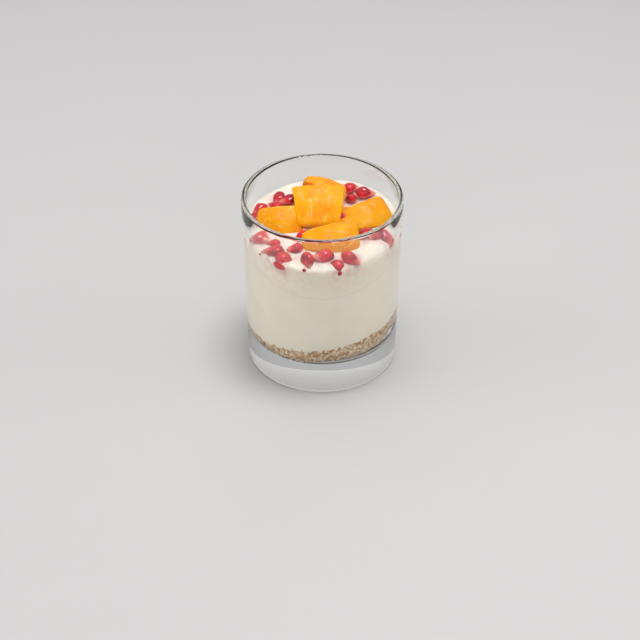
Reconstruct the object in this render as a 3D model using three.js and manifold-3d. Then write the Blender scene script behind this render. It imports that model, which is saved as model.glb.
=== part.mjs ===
// A yogurt parfait served in a heavy-based glass tumbler: a layer of oat and biscuit crumbs,
// plain yogurt above it, and peach slices with pomegranate arils on top.
// Units are millimetres and +Z is up. The middle of the underside is at the origin.
// The side that the peach slices face is -Y.

import * as THREE from "three";
import { mergeVertices } from "three/addons/utils/BufferGeometryUtils.js";
import Module from "manifold-3d";

const wasm = await Module();
wasm.setup();

// Glass
const glassHeight = 97;
const rimRadius = 41;
const footRadius = 39.3;
const rimWall = 2.6;
const floorWall = 3.1;
const floorHeight = 16.5;
const innerCorner = 6;
const footFillet = 2.2;
const lipRounding = 1.3;
const roundSegments = 56;

// Contents
const gap = 0.3;
const layerSegments = 40;
const crumbHeight = 27.3;
const crumbSlope = 0.13;
const yogurtHeight = 81.5;
const yogurtSlopeX = 0.03;
const yogurtSlopeY = 0.05;
const yogurtDish = 0.0012;
const sideTaper = 0.5;

const degree = Math.PI / 180;

function outerRadius(z) {
  return THREE.MathUtils.lerp(footRadius, rimRadius, z / glassHeight);
}

function wallAt(z) {
  return THREE.MathUtils.lerp(floorWall, rimWall, (z - floorHeight) / (glassHeight - floorHeight));
}

function innerRadius(z) {
  return outerRadius(z) - wallAt(z);
}

// How far out the contents may reach at a height, down into the rounded corner of the floor.
function reachAt(z) {
  const cornerZ = floorHeight + innerCorner;
  if (z >= cornerZ) {
    return innerRadius(z) - gap;
  }
  const drop = Math.min(cornerZ - z, innerCorner - gap);
  return innerRadius(cornerZ) - innerCorner + Math.sqrt((innerCorner - gap) ** 2 - drop * drop);
}

// The level of the crumbs at a point: a slope with low lumps.
function crumbTop(x, y) {
  const lumps = 0.5 * Math.sin(0.42 * x + 1.1) * Math.cos(0.37 * y - 0.4) + 0.35 * Math.sin(0.9 * x - 0.6 * y);
  return crumbHeight + crumbSlope * x + lumps;
}

// The level of the yogurt at a point: a slope, slightly dished between left and right.
function yogurtTop(x, y) {
  return yogurtHeight + yogurtSlopeX * x + yogurtSlopeY * y + yogurtDish * x * x;
}

// Joins closed rings of the same number of points, in order, and closes both ends on a middle point.
// Every diagonal starts on the ring nearer the axis, so two layers that meet are split alike.
function stack(rings, start, end) {
  const count = rings[0].length;
  const points = [start, ...rings.flat(), end];
  const index = [];
  const last = points.length - 1;
  const at = (ring, i) => 1 + ring * count + (i % count);
  const reach = rings.map((ring) => Math.hypot(ring[0][0], ring[0][1]));
  for (let i = 0; i < count; i++) {
    index.push(0, at(0, i + 1), at(0, i));
    index.push(last, at(rings.length - 1, i), at(rings.length - 1, i + 1));
    for (let ring = 0; ring + 1 < rings.length; ring++) {
      const [a, b, c, d] = [at(ring, i), at(ring, i + 1), at(ring + 1, i + 1), at(ring + 1, i)];
      if (reach[ring] <= reach[ring + 1]) {
        index.push(a, b, c, a, c, d);
      } else {
        index.push(a, b, d, b, c, d);
      }
    }
  }
  const geometry = new THREE.BufferGeometry();
  geometry.setAttribute("position", new THREE.Float32BufferAttribute(points.flat(), 3));
  geometry.setIndex(index);
  return geometry;
}

// One ring of a layer: its height comes from a function of the point, and it stays inside the glass.
function ringAt(radius, heightAt) {
  return Array.from({ length: layerSegments }, (_, i) => {
    const angle = (i / layerSegments) * 2 * Math.PI;
    const z = heightAt(radius * Math.cos(angle), radius * Math.sin(angle));
    const reach = Math.min(radius, reachAt(z));
    return [reach * Math.cos(angle), reach * Math.sin(angle), z];
  });
}

function toSolid(geometry) {
  const bare = geometry.clone();
  bare.deleteAttribute("normal");
  bare.deleteAttribute("uv");
  const merged = mergeVertices(bare, 1e-4);
  return new wasm.Manifold(
    new wasm.Mesh({
      numProp: 3,
      vertProperties: merged.attributes.position.array,
      triVerts: new Uint32Array(merged.index.array),
    }),
  );
}

function toGeometry(solid) {
  const mesh = solid.getMesh();
  const geometry = new THREE.BufferGeometry();
  geometry.setAttribute("position", new THREE.BufferAttribute(new Float32Array(mesh.vertProperties), 3));
  geometry.setIndex(new THREE.BufferAttribute(new Uint32Array(mesh.triVerts), 1));
  const flat = geometry.toNonIndexed();
  flat.computeVertexNormals();
  return flat;
}

// Cuts each of the others from a solid and keeps the largest body that is left.
function cutBy(solid, others) {
  const left = others.reduce((kept, other) => kept.subtract(other), solid);
  return left.decompose().reduce((a, b) => (a.volume() > b.volume() ? a : b));
}

// The tumbler, turned from one closed profile: flat foot, tapered wall, rounded lip, thick floor.
function glassGeometry() {
  const profile = [new THREE.Vector2(0, 0)];
  const arc = (x, y, radius, from, to, steps) => {
    for (let i = 0; i <= steps; i++) {
      const angle = THREE.MathUtils.lerp(from, to, i / steps) * degree;
      profile.push(new THREE.Vector2(x + radius * Math.cos(angle), y + radius * Math.sin(angle)));
    }
  };
  arc(outerRadius(footFillet) - footFillet, footFillet, footFillet, -90, 0, 4);
  arc(rimRadius - lipRounding, glassHeight - lipRounding, lipRounding, 0, 180, 6);
  arc(innerRadius(floorHeight + innerCorner) - innerCorner, floorHeight + innerCorner, innerCorner, 0, -90, 5);
  profile.push(new THREE.Vector2(0, floorHeight));
  return new THREE.LatheGeometry(profile, roundSegments).rotateX(Math.PI / 2);
}

// The crumbs lie on the glass floor, fill its rounded corner and reach the wall.
function crumbGeometry() {
  const rings = [10, 22].map((radius) => ringAt(radius, () => floorHeight + gap));
  for (const share of [0, 0.08, 0.3, 0.6]) {
    rings.push(ringAt(rimRadius, (x, y) => THREE.MathUtils.lerp(floorHeight + gap, crumbTop(x, y), share)));
  }
  for (const radius of [rimRadius, 30, 20, 9]) {
    rings.push(ringAt(radius, crumbTop));
  }
  return stack(rings, [0, 0, floorHeight + gap], [0, 0, crumbTop(0, 0)]);
}

// The yogurt fills the glass from the crumbs up to its own sloping surface.
function yogurtGeometry() {
  const above = (x, y) => crumbTop(x, y) + gap;
  const rings = [9, 20, 30, rimRadius].map((radius) => ringAt(radius, above));
  rings.push(ringAt(rimRadius, () => 38));
  rings.push(ringAt(rimRadius, (x, y) => yogurtTop(x, y) - 0.5));
  for (const radius of [36.8, 28, 18, 8]) {
    rings.push(ringAt(radius, yogurtTop));
  }
  return stack(rings, [0, 0, above(0, 0)], [0, 0, yogurtTop(0, 0)]);
}

// A turned and moved copy: `along` is the long way of the piece, `facing` is its outer side.
function placed(geometry, middle, along, facing) {
  const x = new THREE.Vector3(...along).normalize();
  const z = new THREE.Vector3(...facing);
  z.addScaledVector(x, -z.dot(x)).normalize();
  const y = new THREE.Vector3().crossVectors(z, x);
  const matrix = new THREE.Matrix4().makeBasis(x, y, z).setPosition(...middle);
  return geometry.applyMatrix4(matrix);
}

// A peach slice: an outer side curved both ways, cut sides that close in towards the stone, and two ends.
// `ends` gives the width of each end as a share of the full width. `bend` gives the radius of the outer side along
// and across the slice. `grow` makes it larger all round.
function sliceGeometry({ length, width, depth, ends, bend }, grow) {
  const steps = 5;
  const rings = [];
  for (let i = 0; i <= steps; i++) {
    const share = i / steps;
    const x = (share - 0.5) * (length + 2 * grow);
    const swell = 0.45 * (1 - Math.max(...ends)) * Math.sin(Math.PI * share);
    const outline = THREE.MathUtils.lerp(ends[0], ends[1], share) + swell;
    const rounding = i === 0 || i === steps ? 0.9 : 1;
    const half = (width / 2) * Math.min(outline, 1) * rounding + grow;
    const deep = depth * rounding * THREE.MathUtils.lerp(0.65, 1, Math.min(outline, 1)) + grow;
    const bow = ((share - 0.5) * length) ** 2 / (2 * bend[0]);
    const fall = (y) => Math.max(Math.abs(y) - grow, 0) ** 2 / (2 * bend[1]);
    const crown = (y) => grow - bow - fall(y) - (1 - rounding) * 4;
    const edge = Math.min(1.2, half * 0.3);
    const low = -deep - bow * 0.6;
    const inner = (half - grow) * sideTaper + grow;
    const ring = [
      [x, -half, crown(half) - edge - grow],
      [x, -inner, low],
      [x, inner, low],
      [x, half, crown(half) - edge - grow],
      [x, half - edge * 0.6, crown(half - edge)],
      [x, half * 0.45, crown(half * 0.45)],
      [x, 0, crown(0)],
      [x, -half * 0.45, crown(half * 0.45)],
      [x, -half + edge * 0.6, crown(half - edge)],
    ];
    rings.push(ring);
  }
  const middle = (ring) => {
    const sum = ring.reduce((a, p) => [a[0] + p[0], a[1] + p[1], a[2] + p[2]]);
    return sum.map((v) => v / ring.length);
  };
  return stack(rings, middle(rings[0]), middle(rings[steps]));
}

// A pomegranate aril: a plump blunt body that narrows to a tip, with soft flats around it.
const arilProfile = [
  [-0.44, 0.58],
  [-0.14, 1],
  [0.2, 0.84],
  [0.44, 0.38],
];

function arilGeometry(size, grow) {
  const length = 9.4 * size + 2 * grow;
  const rings = arilProfile.map(([at, share]) => {
    return Array.from({ length: 8 }, (_, i) => {
      const angle = (i / 8) * 2 * Math.PI;
      const wide = 3.2 * size * share + grow;
      const thick = 2.8 * size * share + grow;
      return [at * length, wide * Math.cos(angle), thick * Math.sin(angle)];
    });
  });
  return stack(rings, [-0.5 * length, 0, 0], [0.5 * length, 0, 0]);
}

// Peach slices, the topmost first: each lower one is cut where a higher one presses into it.
const slices = [
  {
    name: "peach_slice_front_top",
    length: 21.6,
    width: 28,
    depth: 8.5,
    ends: [0.78, 1],
    bend: [45, 32],
    middle: [-1.9, -0.8, 92.7],
    along: [-0.02, 0.8, 0.6],
    facing: [0, -0.6, 0.8],
  },
  {
    name: "peach_slice_back_top",
    length: 22.5,
    width: 15,
    depth: 8,
    ends: [0.26, 1],
    bend: [28, 16.8],
    middle: [2.3, 14.2, 95],
    along: [0.86, -0.12, -0.34],
    facing: [0.3, -0.25, 0.92],
  },
  {
    name: "peach_slice_left",
    length: 24,
    width: 20.5,
    depth: 8.5,
    ends: [0.42, 1],
    bend: [28, 20],
    middle: [-21.2, -5.9, 87.2],
    along: [1, -0.11, -0.1],
    facing: [-0.1, -0.66, 0.74],
  },
  {
    name: "peach_slice_right",
    length: 30.5,
    width: 20.5,
    depth: 8.5,
    ends: [0.5, 1],
    bend: [28, 20],
    middle: [20.3, -4.1, 88.4],
    along: [0.9, 0.36, 0.14],
    facing: [-0.1, -0.5, 0.86],
  },
  {
    name: "peach_slice_front",
    length: 28.5,
    width: 22,
    depth: 8.5,
    ends: [0.44, 0.7],
    bend: [32, 16.8],
    middle: [4, -21.6, 86.6],
    along: [1, 0.06, 0.07],
    facing: [0.02, -0.6, 0.8],
  },
  {
    name: "peach_slice_under",
    length: 12,
    width: 8,
    depth: 5,
    ends: [0.8, 0.8],
    bend: [28, 16.8],
    middle: [11.3, 2.3, 86],
    along: [1, 0.3, 0],
    facing: [0, -0.3, 0.95],
  },
];

// Arils: x, y, height of the middle above the yogurt, turn of the tip about the vertical, dip of the tip, size.
const arils = [
  [-22.6, 17, 1.2, 250, 20, 1],
  [-18, 14.9, 2.4, 200, 10, 1],
  [-24.4, 12.2, 0.6, 150, 0, 0.85],
  [-32, 7.7, 1.3, 225, 8, 1],
  [-33.4, -1.5, 1.1, 290, 30, 0.95],
  [14.9, 25.5, 1.8, 20, 5, 0.95],
  [22.3, 19.7, 2.2, 2, 6, 1.08],
  [14.5, 16.8, 1.8, 130, 10, 0.85],
  [10.4, -2.6, 4, 200, 0, 0.65],
  [23, -14.4, 1.6, 30, 0, 1.05],
  [27, -16, 0.6, 210, 0, 0.9],
  [31.4, -17.2, -0.4, 290, 30, 0.95],
  [34.9, -5.5, -5, 100, 0, 0.85],
  [19.6, -16.5, 1, 340, 0, 0.75],
  [-30.2, -16.2, 0.8, 330, 0, 1],
  [-24.4, -18.9, -0.1, 180, 0, 0.7],
  [-23.6, -24.6, 0, 178, 0, 1.15],
  [-18.1, -29.2, -0.9, 328, 12, 1.1],
  [-13.7, -23.6, 0.6, 185, 0, 0.85],
  [-19.2, -31.2, -3, 340, 10, 0.9],
  [-6.9, -32.2, 0.1, 285, 20, 1.05],
  [0.4, -30.2, 1.5, 188, 0, 1.1],
  [13.8, -31.9, 0.5, 325, 12, 1.15],
  [6.6, -34.2, -1.2, 175, 0, 0.95],
  [-10, -12.9, 1.5, 70, -15, 0.85],
  [-34.4, -8.2, -6.5, 260, 0, 0.85],
];

function arilAt([x, y, lift, turn, dip, size], grow) {
  const flat = Math.cos(dip * degree);
  const along = [Math.cos(turn * degree) * flat, Math.sin(turn * degree) * flat, -Math.sin(dip * degree)];
  return placed(arilGeometry(size, grow), [x, y, yogurtTop(x, y) + lift], along, [0, 0, 1]);
}

function sliceAt(slice, grow) {
  return placed(sliceGeometry(slice, grow), slice.middle, slice.along, slice.facing);
}

// Materials
const looks = {
  glass: { color: 0xe9eeeb, roughness: 0.03, metalness: 0, transparent: true, opacity: 0.35 },
  yogurt: { color: 0xf6efe2, roughness: 0.35, metalness: 0 },
  crumbs: { color: 0xa8906c, roughness: 0.85, metalness: 0 },
  peach: { color: 0xf59a0c, roughness: 0.3, metalness: 0 },
  aril: { color: 0xa8122a, roughness: 0.2, metalness: 0 },
};

const parfait = new THREE.Group();
parfait.name = "yogurt_parfait";

function addPart(name, geometry, look) {
  const mesh = new THREE.Mesh(geometry, new THREE.MeshStandardMaterial(look));
  mesh.name = name;
  parfait.add(mesh);
}

// The free space inside the glass, which keeps every wall piece clear of the glass.
function innerSpace() {
  const profile = [
    new THREE.Vector2(0, floorHeight + gap),
    new THREE.Vector2(innerRadius(floorHeight) - innerCorner, floorHeight + gap),
    new THREE.Vector2(innerRadius(floorHeight + innerCorner) - gap, floorHeight + innerCorner),
    new THREE.Vector2(innerRadius(glassHeight) - gap, glassHeight + 10),
    new THREE.Vector2(0, glassHeight + 10),
  ];
  return toSolid(new THREE.LatheGeometry(profile, roundSegments).rotateX(Math.PI / 2));
}

const space = innerSpace();
const grownSlices = slices.map((slice) => toSolid(sliceAt(slice, gap)));
const grownArils = arils.map((aril) => toSolid(arilAt(aril, gap)));

addPart("glass", glassGeometry(), looks.glass);
addPart("crumb_layer", crumbGeometry(), looks.crumbs);
addPart("yogurt", toGeometry(cutBy(toSolid(yogurtGeometry()), [...grownSlices, ...grownArils])), looks.yogurt);
slices.forEach((slice, i) => {
  const solid = toSolid(sliceAt(slice, 0)).intersect(space);
  addPart(slice.name, toGeometry(cutBy(solid, grownSlices.slice(0, i))), looks.peach);
});
arils.forEach((aril, i) => {
  const solid = toSolid(arilAt(aril, 0)).intersect(space);
  const cuts = [...grownSlices, ...grownArils.slice(0, i)];
  addPart("pomegranate_aril_" + (i + 1), toGeometry(cutBy(solid, cuts)), looks.aril);
});

export default parfait;
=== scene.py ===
# A yogurt parfait in a straight tumbler: crumbs, yogurt, peach slices and pomegranate arils.
# The origin is the middle of the glass's underside. Shapes are worked out in millimetres. Lamps, the floor,
# textures and the finished meshes are in Blender's metres.
import math

import bpy
import numpy as np
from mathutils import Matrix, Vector, noise


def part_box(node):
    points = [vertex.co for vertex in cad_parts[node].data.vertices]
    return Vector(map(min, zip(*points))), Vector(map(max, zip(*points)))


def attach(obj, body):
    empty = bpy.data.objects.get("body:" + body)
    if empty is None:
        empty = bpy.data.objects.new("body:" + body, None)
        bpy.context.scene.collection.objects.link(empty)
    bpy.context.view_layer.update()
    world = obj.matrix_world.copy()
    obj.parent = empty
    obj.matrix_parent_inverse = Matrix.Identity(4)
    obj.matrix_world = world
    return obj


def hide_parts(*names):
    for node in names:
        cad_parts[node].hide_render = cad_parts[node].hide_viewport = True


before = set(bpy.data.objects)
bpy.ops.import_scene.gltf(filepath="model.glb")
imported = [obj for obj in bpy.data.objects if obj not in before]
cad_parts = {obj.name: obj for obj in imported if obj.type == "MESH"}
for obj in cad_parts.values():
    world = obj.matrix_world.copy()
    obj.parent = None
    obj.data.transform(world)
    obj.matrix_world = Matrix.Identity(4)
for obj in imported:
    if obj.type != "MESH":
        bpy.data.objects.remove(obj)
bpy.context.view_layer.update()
mm = 0.001
scene = bpy.context.scene
scene.view_settings.view_transform = "Standard"


# ---- small helpers for meshes and node trees

def addMesh(name, points, faces, material=None):
    mesh = bpy.data.meshes.new(name)
    mesh.from_pydata([tuple(p) for p in points], [], faces)
    mesh.validate()
    mesh.shade_smooth()
    if material:
        mesh.materials.append(material)
    made = bpy.data.objects.new(name, mesh)
    scene.collection.objects.link(made)
    return made


def lerp(a, b, share):
    return a + (b - a) * share


def smoothStep(low, high, value):
    share = np.clip((value - low) / (high - low), 0, 1)
    return share * share * (3 - 2 * share)


# Joins rings of points into a skin, closed on a middle point at both ends.
def stackFaces(ringCount, count):
    faces = []
    last = 1 + ringCount * count
    top = last - count
    for i in range(count):
        j = (i + 1) % count
        faces.append((0, 1 + j, 1 + i))
        faces.append((last, top + i, top + j))
        for ring in range(ringCount - 1):
            a = 1 + ring * count
            b = a + count
            faces.append((a + i, a + j, b + j, b + i))
    return faces


def addStack(name, rings, start, end, material):
    points = [start] + [p for ring in rings for p in ring] + [end]
    return addMesh(name, np.array(points) * mm, stackFaces(len(rings), len(rings[0])), material)


def ride(piece, slotName, *nodes):
    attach(piece, "root")
    if nodes:
        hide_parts(*nodes)


class Look:
    # One material: its tree, a shortcut for nodes, and the main shader
    def __init__(self, name):
        self.material = bpy.data.materials.new(name)
        self.material.use_nodes = True
        self.tree = self.material.node_tree
        self.shader = self.tree.nodes["Principled BSDF"]
        self.output = self.tree.nodes["Material Output"]

    def node(self, kind, settings=None, **inputs):
        made = self.tree.nodes.new(kind)
        for key, value in (settings or {}).items():
            setattr(made, key, value)
        for key, value in inputs.items():
            self.put(made.inputs[key.replace("_", " ")], value)
        return made

    def put(self, socket, value):
        if isinstance(value, bpy.types.NodeSocket):
            self.tree.links.new(value, socket)
        else:
            socket.default_value = value

    def math(self, operation, a, b=0.0):
        made = self.node("ShaderNodeMath", {"operation": operation})
        self.put(made.inputs[0], a)
        self.put(made.inputs[1], b)
        return made.outputs[0]

    def mix(self, share, a, b):
        made = self.node("ShaderNodeMix", {"data_type": "RGBA"})
        self.put(made.inputs[0], share)
        self.put(made.inputs[6], a)
        self.put(made.inputs[7], b)
        return made.outputs[2]

    # 0 at low and 1 at high, with soft ends
    def ramp(self, value, low, high):
        made = self.node("ShaderNodeMapRange", {"interpolation_type": "SMOOTHSTEP"})
        self.put(made.inputs["Value"], value)
        self.put(made.inputs["From Min"], low)
        self.put(made.inputs["From Max"], high)
        return made.outputs["Result"]

    def objectSpace(self):
        return self.node("ShaderNodeTexCoord").outputs["Object"]

    def attribute(self, name, output="Fac"):
        return self.node("ShaderNodeAttribute", {"attribute_name": name}).outputs[output]

    def scaled(self, vector, scale):
        made = self.node("ShaderNodeMapping")
        self.put(made.inputs["Vector"], vector)
        made.inputs["Scale"].default_value = scale
        return made.outputs["Vector"]

    def noise(self, vector, scale, detail=3.0, roughness=0.5, distortion=0.0):
        made = self.node("ShaderNodeTexNoise", None, Scale=scale, Detail=detail, Roughness=roughness)
        made.inputs["Distortion"].default_value = distortion
        self.put(made.inputs["Vector"], vector)
        return made.outputs["Fac"]

    # One random colour for each cell
    def cells(self, vector, scale):
        made = self.node("ShaderNodeTexVoronoi", None, Scale=scale)
        self.put(made.inputs["Vector"], vector)
        return made.outputs["Color"]

    def bump(self, height, strength, distance):
        made = self.node("ShaderNodeBump", None, Strength=strength, Distance=distance)
        self.put(made.inputs["Height"], height)
        return made.outputs["Normal"]

    def set(self, **inputs):
        for key, value in inputs.items():
            self.put(self.shader.inputs[key.replace("_", " ")], value)


# ---- camera

camera = {
    "place": (-1.15, -666.1, 527.1),
    "target": (-1.15, 0, 18.25),
    "lens": 88.57,
    "sensor": 36,
}


def addCamera(settings):
    data = bpy.data.cameras.new("camera")
    data.lens = settings["lens"]
    data.sensor_width = settings["sensor"]
    made = bpy.data.objects.new("camera", data)
    scene.collection.objects.link(made)
    place = Vector(settings["place"]) * mm
    target = Vector(settings["target"]) * mm
    made.location = place
    made.rotation_euler = (target - place).to_track_quat("-Z", "Y").to_euler()
    scene.camera = made


addCamera(camera)


# ---- the glass

glassShape = {
    "height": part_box("glass")[1].z / mm,
    "rimRadius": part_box("glass")[1].x / mm,
    "footRadius": 39.3,
    "rimWall": 2.6,
    "floorWall": 3.1,
    "floorHeight": 16.5,
    "innerCorner": 6,
    "footFillet": 2.2,
    "lipRounding": 1.3,
    "ringSpacing": 8,
    "segments": 192,
}


def outerRadius(z):
    return lerp(glassShape["footRadius"], glassShape["rimRadius"], z / glassShape["height"])


def innerRadius(z):
    g = glassShape
    share = (z - g["floorHeight"]) / (g["height"] - g["floorHeight"])
    return outerRadius(z) - lerp(g["floorWall"], g["rimWall"], share)


# How far out the glass leaves room at a height, round the corner of its floor too
def roomAt(z):
    g = glassShape
    cornerZ = g["floorHeight"] + g["innerCorner"]
    if z >= cornerZ:
        return innerRadius(z)
    drop = min(cornerZ - z, g["innerCorner"])
    return innerRadius(cornerZ) - g["innerCorner"] + math.sqrt(max(g["innerCorner"] ** 2 - drop * drop, 0))


def glassMaterial():
    look = Look("clearGlass")
    look.set(Base_Color=(0.955, 0.968, 0.958, 1), Roughness=0.0, IOR=1.5, Transmission_Weight=1.0)
    place = look.objectSpace()
    waves = look.noise(look.scaled(place, (1, 1, 0.35)), 55, 2)
    look.set(Normal=look.bump(waves, 0.06, 0.0006))
    height = look.node("ShaderNodeSeparateXYZ", None, Vector=place).outputs["Z"]
    # light that falls through it: less gets through the solid base than through the wall
    thick = look.ramp(height, 0.0155, 0.011)
    tint = look.mix(thick, (0.92, 0.935, 0.925, 1), (0.66, 0.675, 0.67, 1))
    passing = look.node("ShaderNodeBsdfTransparent", None, Color=tint)
    light = look.node("ShaderNodeLightPath")
    blend = look.node("ShaderNodeMixShader")
    look.put(blend.inputs[0], light.outputs["Is Shadow Ray"])
    look.put(blend.inputs[1], look.shader.outputs[0])
    look.put(blend.inputs[2], passing.outputs[0])
    look.put(look.output.inputs["Surface"], blend.outputs[0])
    return look.material


def addGlass(g):
    profile = []

    def arc(x, z, radius, start, end, steps):
        for i in range(steps + 1):
            angle = math.radians(lerp(start, end, i / steps))
            profile.append((x + radius * math.cos(angle), z + radius * math.sin(angle)))

    fillet, lip, corner = g["footFillet"], g["lipRounding"], g["innerCorner"]
    spacing = g["ringSpacing"]
    cornerZ = g["floorHeight"] + corner
    floorRadius = 28  # within the flat part of the inner floor
    for share in (0.3, 0.6, 0.9):
        profile.append((share * (g["footRadius"] - fillet), 0))
    arc(outerRadius(fillet) - fillet, fillet, fillet, -90, 0, 10)
    for z in range(10, 90, spacing):
        profile.append((outerRadius(z), z))
    arc(g["rimRadius"] - lip, g["height"] - lip, lip, 0, 180, 16)
    for z in range(88, 26, -spacing):
        profile.append((innerRadius(z), z))
    arc(innerRadius(cornerZ) - corner, cornerZ, corner, 0, -90, 12)
    for share in (0.8, 0.5, 0.25):
        profile.append((share * floorRadius, g["floorHeight"]))
    angles = np.arange(g["segments"]) / g["segments"] * 2 * math.pi
    rings = [[(r * math.cos(a), r * math.sin(a), z) for a in angles] for r, z in profile]
    piece = addStack("glassTumbler", rings, (0, 0, 0), (0, 0, g["floorHeight"]), glassMaterial())
    ride(piece, "glass", "glass")


addGlass(glassShape)
print("glass made")


# ---- the crumb layer

crumbShape = {
    "height": 27.3,
    "slope": 0.13,
    "intoWall": 0.12,
    "aboveFloor": 0.25,
    "band": 7.0,
    "wallRadius": 37,
    "looseInset": -0.3,
    "floorRings": (8, 18, 26),
    "wallShares": (0, 0.06, 0.14, 0.24, 0.36, 0.43, 0.5, 0.58, 0.68, 0.8, 0.92),
    "topRings": (38, 33, 27, 20, 12, 5),
    "segments": 240,
    "sheetRings": (0.2, 1.15, 10),
    "sheetInset": -0.42,
    "sheetLooseInset": -1.3,
    "sheetRise": 0.5,
    "sheetLean": 0.7,
    "grainsPerSquareMetre": 3.6e5,
    "grainSize": 1.5,
    "smallGrain": (0.35, 0.3, 0.2),
    "largeGrain": (1.0, 0.8, 0.55),
    "wobbleScale": 1300.0,
    "wobble": 0.7,
    "seed": 5,
}


# The crumbs' upper side: a slope with low lumps
def crumbLevel(x, y):
    lumps = 0.5 * math.sin(0.42 * x + 1.1) * math.cos(0.37 * y - 0.4) + 0.35 * math.sin(0.9 * x - 0.6 * y)
    lumps += 0.9 * noise.noise((0.45 * x, 0.45 * y, 2.5))
    return crumbShape["height"] + crumbShape["slope"] * x + lumps


# A ring of points on a surface, cut short where the wall of the glass comes nearer than its radius
def ringAt(radius, levelAt, segments, intoWall):
    ring = []
    for i in range(segments):
        angle = i / segments * 2 * math.pi
        x, y = math.cos(angle), math.sin(angle)
        z = levelAt(radius * x, radius * y)
        reach = min(radius, roomAt(z) + intoWall)
        ring.append((reach * x, reach * y, z))
    return ring


def crumbMaterial():
    look = Look("oatAndBiscuitCrumbs")
    place = look.objectSpace()
    cell = look.cells(place, 800)
    tone = look.node("ShaderNodeSeparateColor", None, Color=cell).outputs[0]
    shade = look.attribute("shade")
    # The crumb body has no shade attribute of its own and reads 0, so it comes out darker brown than the
    # grains: painted shade in the gaps between them.
    tone = look.math("ADD", look.math("MULTIPLY", tone, 0.35), look.math("MULTIPLY", shade, 0.65))
    ramp = look.node("ShaderNodeValToRGB")
    look.put(ramp.inputs[0], tone)
    stops = ramp.color_ramp.elements
    stops[0].position, stops[0].color = 0.0, (0.36, 0.17, 0.07, 1)
    stops[1].position, stops[1].color = 1.0, (1.0, 0.96, 0.89, 1)
    stops.new(0.2).color = (0.66, 0.43, 0.23, 1)
    stops.new(0.36).color = (0.88, 0.7, 0.5, 1)
    stops.new(0.7).color = (0.95, 0.86, 0.71, 1)
    fine = look.noise(place, 2200, 3, 0.6)
    look.set(Base_Color=look.mix(look.math("MULTIPLY", fine, 0.2), ramp.outputs[0], (0.5, 0.35, 0.2, 1)))
    look.set(Roughness=look.math("ADD", look.math("MULTIPLY", fine, 0.25), 0.6))
    look.set(Normal=look.bump(look.noise(place, 1500, 4, 0.65), 0.6, 0.0005))
    return look.material


# How far out the crumbs reach: a band below their top is pressed to the wall, and they are loose below it
def crumbReach(x, y, z, pressed, loose):
    low = max(crumbLevel(x, y) - crumbShape["band"], glassShape["floorHeight"] + 2)
    return roomAt(z) + lerp(loose, pressed, float(smoothStep(low - 1, low + 1, z)))


def crumbRing(levelAt, pressed, loose):
    ring = []
    wide, count = crumbShape["wallRadius"], crumbShape["segments"]
    for i in range(count):
        angle = i / count * 2 * math.pi
        x, y = math.cos(angle), math.sin(angle)
        z = levelAt(wide * x, wide * y)
        reach = crumbReach(wide * x, wide * y, z, pressed, loose)
        ring.append((reach * x, reach * y, z))
    return ring


def addCrumbs(c):
    material = crumbMaterial()
    floor = glassShape["floorHeight"] + c["aboveFloor"]
    n = c["segments"]

    def rough(x, y):
        return 0.9 * noise.noise((0.5 * x, 0.5 * y, 0.5))

    rings = [ringAt(r, lambda x, y: floor, n, 0) for r in c["floorRings"]]
    for share in c["wallShares"]:
        def level(x, y):
            return lerp(floor, crumbLevel(x, y), share)

        rings.append(crumbRing(level, c["intoWall"], c["looseInset"]))
    for radius in c["topRings"]:
        rings.append(ringAt(radius, lambda x, y: crumbLevel(x, y) + rough(x, y), n, c["intoWall"]))
    body = addStack("crumbLayer", rings, (0, 0, floor), (0, 0, crumbLevel(0, 0)), material)
    ride(body, "crumbs", "crumb_layer")
    return material


# A sheet along the wall, which the loose grains are scattered on. It leans inwards above the crumbs' top.
def addCrumbSheet(c):
    n = c["segments"]
    floor = glassShape["floorHeight"]
    rings = []
    for share in np.linspace(*c["sheetRings"]):
        def level(x, y):
            return lerp(floor, crumbLevel(x, y) + c["sheetRise"], share)

        deeper = c["sheetLean"] * max(share - 0.95, 0) / 0.2
        rings.append(crumbRing(level, c["sheetInset"] - deeper, c["sheetLooseInset"]))
    points = [p for ring in rings for p in ring]
    faces = []
    for ring in range(len(rings) - 1):
        for i in range(n):
            j = (i + 1) % n
            faces.append((ring * n + i, ring * n + j, ring * n + n + j, ring * n + n + i))
    return addMesh("crumbGrains", np.array(points) * mm, faces)


def newTree(name, inputs):
    tree = bpy.data.node_groups.new(name, "GeometryNodeTree")
    tree.interface.new_socket(name="Geometry", in_out="INPUT", socket_type="NodeSocketGeometry")
    for label, kind, value in inputs:
        socket = tree.interface.new_socket(name=label, in_out="INPUT", socket_type="NodeSocket" + kind)
        socket.default_value = value
    tree.interface.new_socket(name="Geometry", in_out="OUTPUT", socket_type="NodeSocketGeometry")
    return tree


def treeNode(tree, kind, settings=None, **inputs):
    made = tree.nodes.new(kind)
    for key, value in (settings or {}).items():
        setattr(made, key, value)
    for key, value in inputs.items():
        feed(tree, made.inputs[key.replace("_", " ")], value)
    return made


def feed(tree, socket, value):
    if isinstance(value, bpy.types.NodeSocket):
        tree.links.new(value, socket)
    else:
        socket.default_value = value


# Runs a tree on an object and leaves the result as its plain mesh
def applyTree(piece, tree, values):
    modifier = piece.modifiers.new("nodes", "NODES")
    modifier.node_group = tree
    for item in tree.interface.items_tree:
        if item.item_type == "SOCKET" and item.in_out == "INPUT" and item.name in values:
            modifier[item.identifier] = values[item.name]
    graph = bpy.context.evaluated_depsgraph_get()
    mesh = bpy.data.meshes.new_from_object(piece.evaluated_get(graph))
    piece.modifiers.clear()
    piece.data = mesh


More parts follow.
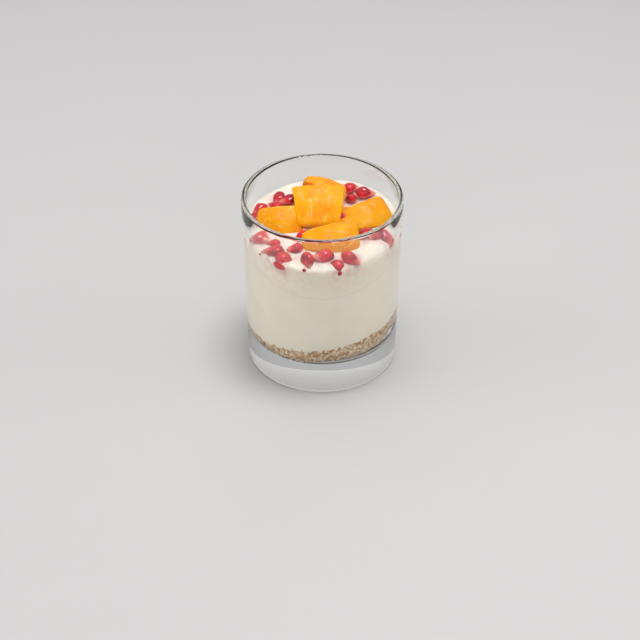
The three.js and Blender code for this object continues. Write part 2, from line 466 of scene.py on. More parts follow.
# Scatters grains of mixed sizes on a sheet, then pushes their points about so that no two look alike
def crumbTree(c, material):
    inputs = [("Density", "Float", 1e6), ("Grain Size", "Float", 0.001), ("Seed", "Int", 0)]
    tree = newTree("scatterCrumbs", inputs)
    start = tree.nodes.new("NodeGroupInput")
    points = treeNode(tree, "GeometryNodeDistributePointsOnFaces", {"distribute_method": "RANDOM"},
                      Mesh=start.outputs["Geometry"], Seed=start.outputs["Seed"])
    feed(tree, points.inputs["Density"], start.outputs["Density"])
    grain = treeNode(tree, "GeometryNodeMeshIcoSphere", None, Radius=1.0, Subdivisions=2)
    turn = treeNode(tree, "FunctionNodeRandomValue", {"data_type": "FLOAT_VECTOR"},
                    Seed=start.outputs["Seed"])
    turn.inputs[1].default_value = (6.3, 6.3, 6.3)
    size = treeNode(tree, "FunctionNodeRandomValue", {"data_type": "FLOAT_VECTOR"},
                    Seed=start.outputs["Seed"])
    size.inputs[0].default_value = c["smallGrain"]
    size.inputs[1].default_value = c["largeGrain"]
    scale = treeNode(tree, "ShaderNodeVectorMath", {"operation": "SCALE"})
    feed(tree, scale.inputs[0], size.outputs[0])
    feed(tree, scale.inputs["Scale"], start.outputs["Grain Size"])
    placed = treeNode(tree, "GeometryNodeInstanceOnPoints", None, Points=points.outputs["Points"],
                      Instance=grain.outputs["Mesh"], Rotation=turn.outputs[0], Scale=scale.outputs[0])
    # a random shade for each grain, which the material reads
    shade = treeNode(tree, "FunctionNodeRandomValue", {"data_type": "FLOAT"}, Seed=start.outputs["Seed"])
    keep = treeNode(tree, "GeometryNodeStoreNamedAttribute", {"data_type": "FLOAT", "domain": "INSTANCE"},
                    Geometry=placed.outputs["Instances"], Name="shade", Value=shade.outputs[1])
    real = treeNode(tree, "GeometryNodeRealizeInstances", None, Geometry=keep.outputs["Geometry"])
    wobble = treeNode(tree, "ShaderNodeTexNoise", {"noise_dimensions": "3D"},
                      Scale=c["wobbleScale"], Detail=1.0)
    centred = treeNode(tree, "ShaderNodeVectorMath", {"operation": "SUBTRACT"})
    feed(tree, centred.inputs[0], wobble.outputs["Color"])
    centred.inputs[1].default_value = (0.5, 0.5, 0.5)
    push = treeNode(tree, "ShaderNodeVectorMath", {"operation": "SCALE"})
    feed(tree, push.inputs[0], centred.outputs[0])
    push.inputs["Scale"].default_value = c["wobble"] * mm
    moved = treeNode(tree, "GeometryNodeSetPosition", None,
                     Geometry=real.outputs["Geometry"], Offset=push.outputs[0])
    painted = treeNode(tree, "GeometryNodeSetMaterial", None,
                       Geometry=moved.outputs["Geometry"], Material=material)
    end = tree.nodes.new("NodeGroupOutput")
    feed(tree, end.inputs["Geometry"], painted.outputs["Geometry"])
    return tree


crumbLook = addCrumbs(crumbShape)
crumbGrains = addCrumbSheet(crumbShape)
applyTree(crumbGrains, crumbTree(crumbShape, crumbLook), {
    "Density": crumbShape["grainsPerSquareMetre"],
    "Grain Size": crumbShape["grainSize"] * mm,
    "Seed": crumbShape["seed"],
})
ride(crumbGrains, "crumbs")
print("crumbs made:", len(crumbGrains.data.polygons), "faces")


# ---- the yogurt

yogurtShape = {
    "height": 81.5,
    "slopeX": 0.03,
    "slopeY": 0.05,
    "dish": 0.0012,
    "intoWall": 0.1,
    "overCrumbs": -0.6,
    "shoulder": 1.2,
    "shoulderReach": 1.2,
    "wallRadius": 38,
    "bottomRings": (6, 16, 26, 33),
    "lowShares": (0.03, 0.1, 0.35),
    "wallHeights": (38, 46, 54, 62, 70, 76),
    "edgeShare": 0.91,
    "edgeDrop": 0.3,
    "edgeRing": 37.85,
    "topRings": (37.4, 0.6, -0.8),
    # juice close to each aril, then a wider, fainter painted shade round it
    "juiceAndShadeReach": (1.3, 5.0),
    "juiceAndShadeShares": (0.65, 0.35),
    "segments": 200,
}


# The yogurt's upper side without its small swells, which the arils' heights are counted from
def yogurtLevel(x, y):
    s = yogurtShape
    return s["height"] + s["slopeX"] * x + s["slopeY"] * y + s["dish"] * x * x


def yogurtMaterial():
    look = Look("plainYogurt")
    place = look.objectSpace()
    split = look.node("ShaderNodeSeparateXYZ", None, Vector=place)
    cream = look.noise(place, 60, 3)
    color = look.mix(look.ramp(cream, 0.35, 0.7), (0.94, 0.875, 0.765, 1), (0.91, 0.84, 0.71, 1))
    # a faint darker line round the yogurt near 61 mm up, higher at the sides
    rising = look.math("MULTIPLY", look.math("MULTIPLY", split.outputs["X"], split.outputs["X"]), 7.5)
    above = look.math("SUBTRACT", look.math("SUBTRACT", split.outputs["Z"], 0.0608), rising)
    away = look.math("ABSOLUTE", above)
    faintLine = look.math("SUBTRACT", 1.0, look.ramp(away, 0.0001, 0.0005))
    color = look.mix(look.math("MULTIPLY", faintLine, 0.22), color, (0.62, 0.57, 0.47, 1))
    # juice that has run from the arils, and a wider, fainter pink painted shade round them that stands in
    # for the fruit's shadow on the yogurt
    patches = look.ramp(look.noise(place, 320, 3), 0.3, 0.7)
    juiceAndShade = look.math("MULTIPLY", look.attribute("juiceAndShade"), patches)
    color = look.mix(look.math("MULTIPLY", juiceAndShade, 0.75), color, (0.72, 0.22, 0.27, 1))
    look.set(Base_Color=color, Roughness=look.math("ADD", look.math("MULTIPLY", cream, 0.16), 0.3))
    look.set(Subsurface_Weight=0.25, Subsurface_Radius=(0.004, 0.0028, 0.0018))
    look.set(Subsurface_Scale=1.0, IOR=1.38)
    folds = look.noise(look.scaled(place, (1, 1, 1.6)), 140, 4, 0.55, 0.6)
    look.set(Normal=look.bump(folds, 0.18, 0.0012))
    return look.material


# each aril: x, y, height above the yogurt, turn about the vertical, dip of its tip, size
arilPlaces = [
    (-22.6, 17, 1.2, 250, 20, 1),
    (-18, 14.9, 2.4, 200, 10, 1),
    (-24.4, 12.2, 0.6, 150, 0, 0.85),
    (-32, 7.7, 1.3, 225, 8, 1),
    (-33.4, -1.5, 1.1, 290, 30, 0.95),
    (14.9, 25.5, 1.8, 20, 5, 0.95),
    (22.3, 19.7, 2.2, 2, 6, 1.08),
    (14.5, 16.8, 1.8, 130, 10, 0.85),
    (10.4, -2.6, 4, 200, 0, 0.65),
    (23, -14.4, 1.6, 30, 0, 1.05),
    (27, -16, 0.6, 210, 0, 0.9),
    (31.4, -17.2, -0.4, 290, 30, 0.95),
    (34.9, -5.5, -5, 100, 0, 0.85),
    (19.6, -16.5, 1, 340, 0, 0.75),
    (-30.2, -16.2, 0.8, 330, 0, 1),
    (-24.4, -18.9, -0.1, 180, 0, 0.7),
    (-23.6, -24.6, 0, 178, 0, 1.15),
    (-18.1, -29.2, -0.9, 328, 12, 1.1),
    (-13.7, -23.6, 0.6, 185, 0, 0.85),
    (-19.2, -31.2, -3, 340, 10, 0.9),
    (-6.9, -32.2, 0.1, 285, 20, 1.05),
    (0.4, -30.2, 1.5, 188, 0, 1.1),
    (13.8, -31.9, 0.5, 325, 12, 1.15),
    (6.6, -34.2, -1.2, 175, 0, 0.95),
    (-10, -12.9, 1.5, 70, -15, 0.85),
    (-34.4, -8.2, -6.5, 260, 0, 0.85),
]


def addYogurt(s):
    n = s["segments"]
    wide = glassShape["rimRadius"]
    firstHeight = s["wallHeights"][0]

    def surface(x, y):
        inwards = max(s["wallRadius"] - math.hypot(x, y), 0)
        shoulder = s["shoulder"] * math.exp(-inwards / s["shoulderReach"])
        swell = 0.45 * noise.noise((0.09 * x + 4, 0.09 * y, 1))
        swell += 0.14 * noise.noise((0.3 * x, 0.3 * y, 5))
        return yogurtLevel(x, y) + swell - shoulder

    def bottom(x, y):
        return crumbLevel(x, y) + s["overCrumbs"]

    rings = [ringAt(r, bottom, n, s["intoWall"]) for r in s["bottomRings"]]
    rings.append(ringAt(wide, bottom, n, s["intoWall"]))
    for share in s["lowShares"]:
        rings.append(ringAt(wide, lambda x, y: lerp(bottom(x, y), firstHeight, share), n, s["intoWall"]))
    for z in s["wallHeights"]:
        rings.append(ringAt(wide, lambda x, y: z, n, s["intoWall"]))

    # the edge where the top meets the wall, then the top itself
    def edge(x, y):
        return surface(x * s["edgeShare"], y * s["edgeShare"]) - s["edgeDrop"]

    rings.append(ringAt(wide, edge, n, s["intoWall"]))
    for radius in [s["edgeRing"]] + list(np.arange(*s["topRings"])):
        rings.append(ringAt(radius, surface, n, s["intoWall"]))
    piece = addStack("yogurtFill", rings, (0, 0, bottom(0, 0)), (0, 0, surface(0, 0)), yogurtMaterial())
    stainAndShadeYogurt(s, piece)
    ride(piece, "yogurt", "yogurt")


# Marks how much juice and painted shade each point gets: juice most beside an aril, and a faint painted
# shade further off
def stainAndShadeYogurt(s, piece):
    points = np.array([v.co for v in piece.data.vertices])
    juiceAndShade = np.zeros(len(points))
    arilRadius = 3.4
    for x, y, lift, _, _, size in arilPlaces:
        middle = np.array((x, y, yogurtLevel(x, y) + lift)) * mm
        away = np.linalg.norm((points - middle) * (1, 1, 0.8), axis=1) - arilRadius * size * mm
        # the near part is the juice, the far part is painted shade
        near, farShade = (np.exp(-np.maximum(away, 0) / (reach * mm)) for reach in s["juiceAndShadeReach"])
        juiceAndShade = np.maximum(juiceAndShade, s["juiceAndShadeShares"][0] * near + s["juiceAndShadeShares"][1] * farShade)
    stain = piece.data.attributes.new("juiceAndShade", "FLOAT", "POINT")
    stain.data.foreach_set("value", juiceAndShade.astype(np.float32))


addYogurt(yogurtShape)
print("yogurt made")


# ---- the peach slices

peach = {
    "stoneSide": 0.5,
    "edgeRounding": 1.2,
    "endRounding": 2.2,
    "aroundCount": 88,
    "alongCount": 44,
    "crownCount": 24,
    "capShares": (0.3, 0.6, 0.85),
    "unevenness": 0.45,
    "fineUnevenness": 0.08,
}

# each slice: its length, width and depth, how wide each end is as a share of the width, the radii that it
# is bent to along and across, its middle, the way it lies and the way its crown faces
peachSlices = {
    "peach_slice_front_top": {
        "length": 21.6, "width": 28, "depth": 8.5, "ends": (0.78, 1), "bend": (45, 32),
        "middle": (-1.9, -0.8, 92.7), "along": (-0.02, 0.8, 0.6), "facing": (0, -0.6, 0.8),
    },
    "peach_slice_back_top": {
        "length": 22.5, "width": 15, "depth": 8, "ends": (0.26, 1), "bend": (28, 16.8),
        "middle": (2.3, 14.2, 95), "along": (0.86, -0.12, -0.34), "facing": (0.3, -0.25, 0.92),
    },
    "peach_slice_left": {
        "length": 24, "width": 20.5, "depth": 8.5, "ends": (0.42, 1), "bend": (28, 20),
        "middle": (-21.2, -5.9, 87.2), "along": (1, -0.11, -0.1), "facing": (-0.1, -0.66, 0.74),
    },
    "peach_slice_right": {
        "length": 30.5, "width": 20.5, "depth": 8.5, "ends": (0.5, 1), "bend": (28, 20),
        "middle": (20.3, -4.1, 88.4), "along": (0.9, 0.36, 0.14), "facing": (-0.1, -0.5, 0.86),
    },
    "peach_slice_front": {
        "length": 28.5, "width": 22, "depth": 8.5, "ends": (0.44, 0.7), "bend": (32, 16.8),
        "middle": (4, -21.6, 86.6), "along": (1, 0.06, 0.07), "facing": (0.02, -0.6, 0.8),
    },
    "peach_slice_under": {
        "length": 12, "width": 8, "depth": 5, "ends": (0.8, 0.8), "bend": (28, 16.8),
        "middle": (11.3, 2.3, 86), "along": (1, 0.3, 0), "facing": (0, -0.3, 0.95),
    },
}


def peachMaterial():
    look = Look("peachFlesh")
    space = look.attribute("sliceSpace", "Vector")
    split = look.node("ShaderNodeSeparateXYZ", None, Vector=space)
    across = look.math("ABSOLUTE", split.outputs["Y"])
    depth = split.outputs["Z"]
    fibres = look.noise(look.scaled(space, (0.2, 1.2, 1.2)), 1.3, 4, 0.6, 0.6)
    clouds = look.noise(space, 0.13, 3, 0.5)
    inner = look.math("MULTIPLY", look.ramp(depth, -2.5, -8.0), 0.6)
    # paler yellow towards both edges of each slice: partly its own colour, partly a painted highlight where
    # the rounded edges catch the light
    paleEdgeAndHighlight = look.math("MULTIPLY", look.ramp(across, 6.0, 12.5), 0.45)
    grain = look.math("MULTIPLY", look.ramp(fibres, 0.6, 0.78), 0.3)
    base = look.mix(look.ramp(clouds, 0.35, 0.68), (0.86, 0.29, 0.0002, 1), (0.86, 0.385, 0.0003, 1))
    base = look.mix(inner, base, (0.8, 0.2, 0.0002, 1))
    base = look.mix(paleEdgeAndHighlight, base, (0.92, 0.42, 0.0008, 1))
    base = look.mix(grain, base, (0.96, 0.48, 0.004, 1))
    # painted glints on the wet skin, partly pale fibres: short broken lines, in some places only
    lines = look.noise(look.scaled(space, (0.55, 1, 1)), 0.27, 2, 0.5, 0.9)
    offLine = look.math("ABSOLUTE", look.math("SUBTRACT", lines, 0.52))
    thin = look.math("SUBTRACT", 1.0, look.ramp(offLine, 0.004, 0.022))
    places = look.ramp(look.noise(space, 0.2, 1), 0.46, 0.58)
    broken = look.ramp(look.noise(space, 0.9, 1), 0.42, 0.55)
    glintStreaks = look.math("MULTIPLY", look.math("MULTIPLY", thin, places), broken)
    base = look.mix(look.math("MULTIPLY", glintStreaks, 0.8), base, (1.0, 0.74, 0.34, 1))
    look.set(Base_Color=base, Subsurface_Weight=0.2, Subsurface_Radius=(0.004, 0.0018, 0.0001), IOR=1.4)
    look.set(Subsurface_Scale=1.0, Roughness=look.math("ADD", look.math("MULTIPLY", fibres, 0.15), 0.3))
    look.set(Specular_IOR_Level=0.1, Coat_Weight=0.5, Coat_Roughness=0.04)
    # wet skin over low ridges, which breaks each glint into short streaks
    ridges = look.noise(look.scaled(space, (0.45, 1, 1)), 0.34, 2, 0.5, 0.5)
    fine = look.noise(look.scaled(space, (0.3, 1, 1)), 1.1, 2, 0.5)
    ridges = look.math("ADD", ridges, look.math("MULTIPLY", fine, 0.12))
    look.set(Normal=look.bump(fibres, 0.18, 0.0008), Coat_Normal=look.bump(ridges, 1.0, 0.0019))
    return look.material


# A closed outline of one cut across a slice: crowned outside, cut sides closing in on the stone side
def sliceOutline(half, deep, bend, count, rounding):
    crown = [(y, -(y * y) / (2 * bend)) for y in np.linspace(-half, half, peach["crownCount"])]
    inner = half * peach["stoneSide"]
    corners = crown + [(inner, -deep), (0, -deep + 0.06 * half), (-inner, -deep)]
    corners.append(corners[0])
    line = np.array(corners)
    steps = np.r_[0, np.cumsum(np.hypot(*np.diff(line, axis=0).T))]
    at = np.linspace(0, steps[-1], count, endpoint=False)
    ring = np.stack([np.interp(at, steps, line[:, 0]), np.interp(at, steps, line[:, 1])], 1)
    spread = max(int(rounding / (steps[-1] / count)), 1)
    for _ in range(2 * spread):
        ring = (np.roll(ring, 1, 0) + 2 * ring + np.roll(ring, -1, 0)) / 4
    return ring


# The cuts from one end of a slice to the other, closer together and drawn in at its rounded ends
def sliceRings(s):
    p = peach
    length, ends = s["length"], s["ends"]
    rings = []
    edge = p["endRounding"]
    for share in (0.5 - 0.5 * np.cos(np.linspace(0, math.pi, p["alongCount"]))):
        x = (share - 0.5) * length
        belly = 0.45 * (1 - max(ends)) * math.sin(math.pi * share)
        outline = min(lerp(ends[0], ends[1], share) + belly, 1)
        half = s["width"] / 2 * outline
        deep = s["depth"] * lerp(0.65, 1, outline)
        near = max(0.0, 1 - min(share, 1 - share) * length / edge)
        shrink = 1 - (1 - math.sqrt(max(1 - near * near, 0))) * min(edge / half, 0.6)
        ring = sliceOutline(half, deep, s["bend"][1], p["aroundCount"], p["edgeRounding"])
        middle = ring.mean(0)
        ring = middle + (ring - middle) * shrink
        bow = x * x / (2 * s["bend"][0])
        rings.append([(x, y, z - bow) for y, z in ring])

    def caps(ring):
        ring = np.array(ring)
        middle = ring.mean(0)
        return [(middle + (ring - middle) * share).tolist() for share in p["capShares"]]

    return caps(rings[0]) + rings + caps(rings[-1])[::-1]


def addSlice(name, s, material, seed):
    rings = sliceRings(s)
    start, end = np.mean(rings[0], 0), np.mean(rings[-1], 0)
    local = np.array([start] + [q for ring in rings for q in ring] + [end])
    # low unevenness, as soft flesh has
    outward = local.copy()
    outward[:, 0] *= 0.2
    outward[:, 2] += s["depth"] * 0.5
    outward /= np.maximum(np.linalg.norm(outward, axis=1), 1e-6)[:, None]
    shift = [
        peach["unevenness"] * noise.noise(Vector(q) * 0.16 + Vector((seed * 7.3, 0, 0)))
        + peach["fineUnevenness"] * noise.noise(Vector((q[0] * 0.2, q[1] * 0.8, q[2] * 0.8 + seed * 3)))
        for q in local
    ]
    shaped = local + outward * np.array(shift)[:, None]
    along = Vector(s["along"]).normalized()
    facing = Vector(s["facing"])
    facing = (facing - along * facing.dot(along)).normalized()
    side = facing.cross(along)
    turn = np.array((along, side, facing))
    world = shaped @ turn + np.array(s["middle"])
    piece = addMesh(name.replace("peach_slice_", "peachSlice_"), world * mm,
                    stackFaces(len(rings), peach["aroundCount"]), material)
    # the slice's own space, apart from the other slices', for the pattern of its flesh
    space = piece.data.attributes.new("sliceSpace", "FLOAT_VECTOR", "POINT")
    space.data.foreach_set("vector", (local + np.array((seed * 40, 0, 0))).ravel().astype(np.float32))
    ride(piece, "peach", name)


peachLook = peachMaterial()
for number, (sliceName, sliceShape) in enumerate(peachSlices.items()):
    addSlice(sliceName, sliceShape, peachLook, number + 1)
print("peach slices made")


# ---- the pomegranate arils

aril = {
    "length": 9.6,
    "width": 6.5,
    "thickness": 5.7,
    "tipWidth": 0.42,
    "aroundCount": 36,
    "alongCount": 24,
    "dents": 0.9,
    "dentScale": 260.0,
    "seed": 11,
}


def arilMaterial():
    look = Look("pomegranateAril")
    tip = look.attribute("tip")
    tone = look.attribute("tone")
    place = look.objectSpace()
    clouds = look.noise(place, 230, 2, 0.5)
    base = look.mix(look.ramp(clouds, 0.35, 0.62), (0.24, 0.002, 0.012, 1), (0.68, 0.01, 0.028, 1))
    bright = look.math("MULTIPLY", look.ramp(tone, 0.3, 1.0), 0.6)
    base = look.mix(bright, base, (0.8, 0.03, 0.05, 1))
    # the seed shows pale through the flesh near the tip
    pale = look.ramp(look.math("ADD", tip, look.math("MULTIPLY", clouds, 0.5)), 0.86, 1.25)
    base = look.mix(look.math("MULTIPLY", pale, 0.85), base, (0.85, 0.36, 0.27, 1))
    look.set(Base_Color=base, Roughness=0.2, IOR=1.4)
    look.set(Coat_Weight=1.0, Coat_Roughness=0.05, Coat_IOR=1.6)
    look.set(Subsurface_Weight=0.4, Subsurface_Radius=(0.004, 0.0006, 0.0005), Subsurface_Scale=1.0)
    look.set(Specular_IOR_Level=0.3)
    look.set(Normal=look.bump(look.noise(place, 420, 2, 0.5), 0.3, 0.0006))
    return look.material


# One point for each aril, with its turn and size, for the tree to grow it on
def addArilPoints():
    places, turns, sizes = [], [], []
    for x, y, lift, turn, dip, size in arilPlaces:
        places.append(Vector((x, y, yogurtLevel(x, y) + lift)) * mm)
        turns.append((0, math.radians(dip), math.radians(turn)))
        sizes.append(size)
    piece = addMesh("pomegranateArils", places, [])
    turnData = piece.data.attributes.new("turn", "FLOAT_VECTOR", "POINT")
    turnData.data.foreach_set("vector", np.array(turns, np.float32).ravel())
    sizeData = piece.data.attributes.new("size", "FLOAT", "POINT")
    sizeData.data.foreach_set("value", np.array(sizes, np.float32))
    return piece


# A drop-shaped body on every point, with shallow dents where its neighbours pressed on it
def arilTree(a, material):
    sizes = [("Length", "Float", 0.009), ("Width", "Float", 0.006), ("Thickness", "Float", 0.005)]
    tree = newTree("growArils", sizes + [("Dents", "Float", 0.001), ("Seed", "Int", 0)])
    start = tree.nodes.new("NodeGroupInput")
    ball = treeNode(tree, "GeometryNodeMeshUVSphere", None,
                    Segments=a["aroundCount"], Rings=a["alongCount"], Radius=0.5)
    lying = treeNode(tree, "GeometryNodeTransform", None,
                     Geometry=ball.outputs["Mesh"], Rotation=(0, math.pi / 2, 0))
    at = treeNode(tree, "GeometryNodeInputPosition")
    split = treeNode(tree, "ShaderNodeSeparateXYZ", None, Vector=at.outputs[0])
    tip = treeNode(tree, "ShaderNodeMath", {"operation": "ADD"})
    feed(tree, tip.inputs[0], split.outputs["X"])
    tip.inputs[1].default_value = 0.5
    tipped = treeNode(tree, "GeometryNodeStoreNamedAttribute", {"data_type": "FLOAT", "domain": "POINT"},
                      Geometry=lying.outputs["Geometry"], Name="tip", Value=tip.outputs[0])
    # narrower towards the tip
    narrow = treeNode(tree, "ShaderNodeMapRange", {"interpolation_type": "SMOOTHSTEP"}, Value=tip.outputs[0])
    narrow.inputs["From Min"].default_value = 0.3
    narrow.inputs["From Max"].default_value = 1.05
    narrow.inputs["To Min"].default_value = 1.0
    narrow.inputs["To Max"].default_value = a["tipWidth"]
    parts = []
    for axis, label in (("Y", "Width"), ("Z", "Thickness")):
        wide = treeNode(tree, "ShaderNodeMath", {"operation": "MULTIPLY"})
        feed(tree, wide.inputs[0], split.outputs[axis])
        feed(tree, wide.inputs[1], narrow.outputs[0])
        sized = treeNode(tree, "ShaderNodeMath", {"operation": "MULTIPLY"})
        feed(tree, sized.inputs[0], wide.outputs[0])
        feed(tree, sized.inputs[1], start.outputs[label])
        parts.append(sized.outputs[0])
    longer = treeNode(tree, "ShaderNodeMath", {"operation": "MULTIPLY"})
    feed(tree, longer.inputs[0], split.outputs["X"])
    feed(tree, longer.inputs[1], start.outputs["Length"])
    shape = treeNode(tree, "ShaderNodeCombineXYZ", None, X=longer.outputs[0], Y=parts[0], Z=parts[1])
    one = treeNode(tree, "GeometryNodeSetPosition", None, Geometry=tipped.outputs["Geometry"],
                   Position=shape.outputs[0])
    turn = treeNode(tree, "GeometryNodeInputNamedAttribute", {"data_type": "FLOAT_VECTOR"}, Name="turn")
    size = treeNode(tree, "GeometryNodeInputNamedAttribute", {"data_type": "FLOAT"}, Name="size")
    placed = treeNode(tree, "GeometryNodeInstanceOnPoints", None, Points=start.outputs["Geometry"],
                      Instance=one.outputs["Geometry"], Rotation=turn.outputs["Attribute"],
                      Scale=size.outputs["Attribute"])
    # a random tone for each aril, which the material reads
    tone = treeNode(tree, "FunctionNodeRandomValue", {"data_type": "FLOAT"}, Seed=start.outputs["Seed"])
    toned = treeNode(tree, "GeometryNodeStoreNamedAttribute", {"data_type": "FLOAT", "domain": "INSTANCE"},
                     Geometry=placed.outputs["Instances"], Name="tone", Value=tone.outputs[1])
    real = treeNode(tree, "GeometryNodeRealizeInstances", None, Geometry=toned.outputs["Geometry"])
    cells = treeNode(tree, "ShaderNodeTexVoronoi", {"feature": "SMOOTH_F1"}, Scale=a["dentScale"])
    cells.inputs["Smoothness"].default_value = 0.35
    dent = treeNode(tree, "ShaderNodeMath", {"operation": "SUBTRACT"})
    feed(tree, dent.inputs[0], cells.outputs["Distance"])
    dent.inputs[1].default_value = 0.45
    deep = treeNode(tree, "ShaderNodeMath", {"operation": "MULTIPLY"})
    feed(tree, deep.inputs[0], dent.outputs[0])
    feed(tree, deep.inputs[1], start.outputs["Dents"])
    normal = treeNode(tree, "GeometryNodeInputNormal")
    push = treeNode(tree, "ShaderNodeVectorMath", {"operation": "SCALE"})
    feed(tree, push.inputs[0], normal.outputs[0])
    feed(tree, push.inputs["Scale"], deep.outputs[0])
    moved = treeNode(tree, "GeometryNodeSetPosition", None,
                     Geometry=real.outputs["Geometry"], Offset=push.outputs[0])
    smooth = treeNode(tree, "GeometryNodeSetShadeSmooth", None, Geometry=moved.outputs["Geometry"])
    painted = treeNode(tree, "GeometryNodeSetMaterial", None,
                       Geometry=smooth.outputs["Geometry"], Material=material)
    end = tree.nodes.new("NodeGroupOutput")
    feed(tree, end.inputs["Geometry"], painted.outputs["Geometry"])
    return tree


arils = addArilPoints()
applyTree(arils, arilTree(aril, arilMaterial()), {
    "Length": aril["length"] * mm,
    "Width": aril["width"] * mm,
    "Thickness": aril["thickness"] * mm,
    "Dents": aril["dents"] * mm,
    "Seed": aril["seed"],
})
ride(arils, "aril", *["pomegranate_aril_%d" % (i + 1) for i in range(len(arilPlaces))])
print("arils made:", len(arils.data.polygons), "faces")


# ---- drops of juice, pressed between the yogurt and the wall

juiceDrops = {
    "size": 1.0,
    "halfThickness": 0.35,
    # angle round the glass in degrees, height, half of the width, half of the length down the wall
    "places": [(-103.2, 77.9, 1.0, 0.9), (-77.3, 76.2, 1.1, 1.5), (-141.5, 78.2, 0.6, 0.8)],
}


def juiceMaterial():
    look = Look("arilJuice")
    tint = look.noise(look.objectSpace(), 500, 2)
    look.set(Base_Color=look.mix(tint, (0.36, 0.004, 0.02, 1), (0.6, 0.02, 0.06, 1)))
    look.set(Roughness=0.08, IOR=1.35)
    look.set(Subsurface_Weight=0.2, Subsurface_Radius=(0.002, 0.0004, 0.0004), Subsurface_Scale=1.0)
    look.set(Normal=look.bump(tint, 0.1, 0.0003))
    return look.material


def dropTree(material):
    tree = newTree("placeDrops", [("Drop Size", "Float", 0.001)])
    start = tree.nodes.new("NodeGroupInput")
    bead = treeNode(tree, "GeometryNodeMeshIcoSphere", None, Radius=1.0, Subdivisions=3)
    turn = treeNode(tree, "GeometryNodeInputNamedAttribute", {"data_type": "FLOAT_VECTOR"}, Name="turn")
    spread = treeNode(tree, "GeometryNodeInputNamedAttribute", {"data_type": "FLOAT_VECTOR"}, Name="spread")
    size = treeNode(tree, "ShaderNodeVectorMath", {"operation": "SCALE"})
    feed(tree, size.inputs[0], spread.outputs["Attribute"])
    feed(tree, size.inputs["Scale"], start.outputs["Drop Size"])
    placed = treeNode(tree, "GeometryNodeInstanceOnPoints", None, Points=start.outputs["Geometry"],
                      Instance=bead.outputs["Mesh"], Rotation=turn.outputs["Attribute"],
                      Scale=size.outputs[0])
    real = treeNode(tree, "GeometryNodeRealizeInstances", None, Geometry=placed.outputs["Instances"])
    smooth = treeNode(tree, "GeometryNodeSetShadeSmooth", None, Geometry=real.outputs["Geometry"])
    painted = treeNode(tree, "GeometryNodeSetMaterial", None,
                       Geometry=smooth.outputs["Geometry"], Material=material)
    end = tree.nodes.new("NodeGroupOutput")
    feed(tree, end.inputs["Geometry"], painted.outputs["Geometry"])
    return tree


def addDrops(d):
    places, turns, spreads = [], [], []
    for angle, z, wide, tall in d["places"]:
        a = math.radians(angle)
        r = innerRadius(z)
        places.append(Vector((r * math.cos(a), r * math.sin(a), z)) * mm)
        turns.append((0, 0, a))
        spreads.append((d["halfThickness"], wide, tall))
    piece = addMesh("juiceDrops", places, [])
    for name, values in (("turn", turns), ("spread", spreads)):
        data = piece.data.attributes.new(name, "FLOAT_VECTOR", "POINT")
        data.data.foreach_set("vector", np.array(values, np.float32).ravel())
    applyTree(piece, dropTree(juiceMaterial()), {"Drop Size": d["size"] * mm})
    ride(piece, "aril")


addDrops(juiceDrops)
print("drops made")


# ---- floor and light

studio = {
    "floorColor": (0.56, 0.548, 0.542, 1),
    "floorSize": 4.0,
    "skyColor": (0.98, 0.98, 1, 1),
    "skySide": 0.16,
    "skyEnd": 0.42,
    "skyHigh": 0.5,
}

# each lamp: its place, what it points at, its width and height, its power, and whether it is mirrored
lamps = {
    "overhead": ((-0.1, 0.3, 1.0), (0, 0, 0.06), (1.1, 1.1), 2.4, False),
    "frontFill": ((0, -1.3, 0.55), (0, 0, 0.05), (1.4, 0.9), 5.7, False),
    "leftFill": ((-1.2, -0.1, 0.5), (0, 0, 0.05), (0.9, 0.9), 5.6, False),
    "rightFill": ((1.2, -0.1, 0.5), (0, 0, 0.05), (0.9, 0.9), 4.3, False),
    "glint": ((0.15, -0.02, 1.0), (0, 0, 0.09), (0.3, 0.3), 3.8, True),
}


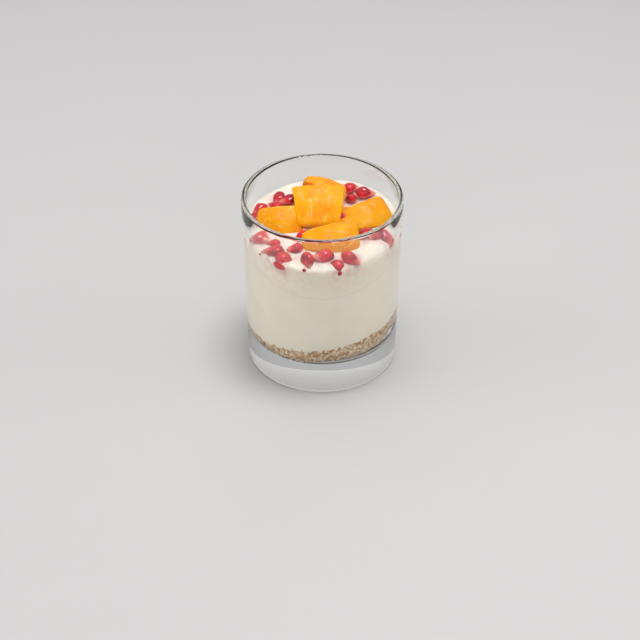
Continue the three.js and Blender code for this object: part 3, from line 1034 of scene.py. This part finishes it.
def addFloor(settings):
    look = Look("paleFloor")
    mottle = look.noise(look.objectSpace(), 9, 3)
    color = settings["floorColor"]
    paler = tuple(c * 1.04 for c in color[:3]) + (1,)
    look.set(Base_Color=look.mix(mottle, color, paler), Roughness=0.6)
    size = settings["floorSize"]
    floor = addMesh("floor", [(-size, -size, 0), (size, -size, 0), (size, size, 0), (-size, size, 0)],
                    [(0, 1, 2, 3)], look.material)
    floor.location.z = -0.0002


def addLamp(name, place, target, size, power, mirrored):
    data = bpy.data.lights.new(name, "AREA")
    data.shape = "RECTANGLE"
    data.size, data.size_y = size
    data.energy = power
    lamp = bpy.data.objects.new(name, data)
    scene.collection.objects.link(lamp)
    lamp.location = place
    lamp.rotation_euler = (Vector(target) - Vector(place)).to_track_quat("-Z", "Y").to_euler()
    lamp.visible_glossy = mirrored
    lamp.visible_transmission = False


# Soft all round, and dark low at both sides so that the edges of the glass show
def addSky(settings):
    world = bpy.data.worlds.new("studio")
    world.use_nodes = True
    tree = world.node_tree
    sky = tree.nodes["Background"]
    place = tree.nodes.new("ShaderNodeTexCoord")
    split = tree.nodes.new("ShaderNodeSeparateXYZ")
    rise = tree.nodes.new("ShaderNodeMapRange")
    side = tree.nodes.new("ShaderNodeMath")
    side.operation = "ABSOLUTE"
    ends = tree.nodes.new("ShaderNodeMapRange")
    tree.links.new(place.outputs["Generated"], split.inputs[0])
    tree.links.new(split.outputs["Y"], side.inputs[0])
    tree.links.new(side.outputs[0], ends.inputs["Value"])
    ends.inputs["From Min"].default_value = 0.35
    ends.inputs["From Max"].default_value = 0.9
    ends.inputs["To Min"].default_value = settings["skySide"]
    ends.inputs["To Max"].default_value = settings["skyEnd"]
    tree.links.new(split.outputs["Z"], rise.inputs["Value"])
    rise.inputs["From Min"].default_value = 0.1
    rise.inputs["From Max"].default_value = 0.75
    tree.links.new(ends.outputs["Result"], rise.inputs["To Min"])
    rise.inputs["To Max"].default_value = settings["skyHigh"]
    tree.links.new(rise.outputs["Result"], sky.inputs["Strength"])
    sky.inputs["Color"].default_value = settings["skyColor"]
    scene.world = world


addFloor(studio)
addSky(studio)
for lampName, lampSettings in lamps.items():
    addLamp(lampName, *lampSettings)
print("floor and light made")
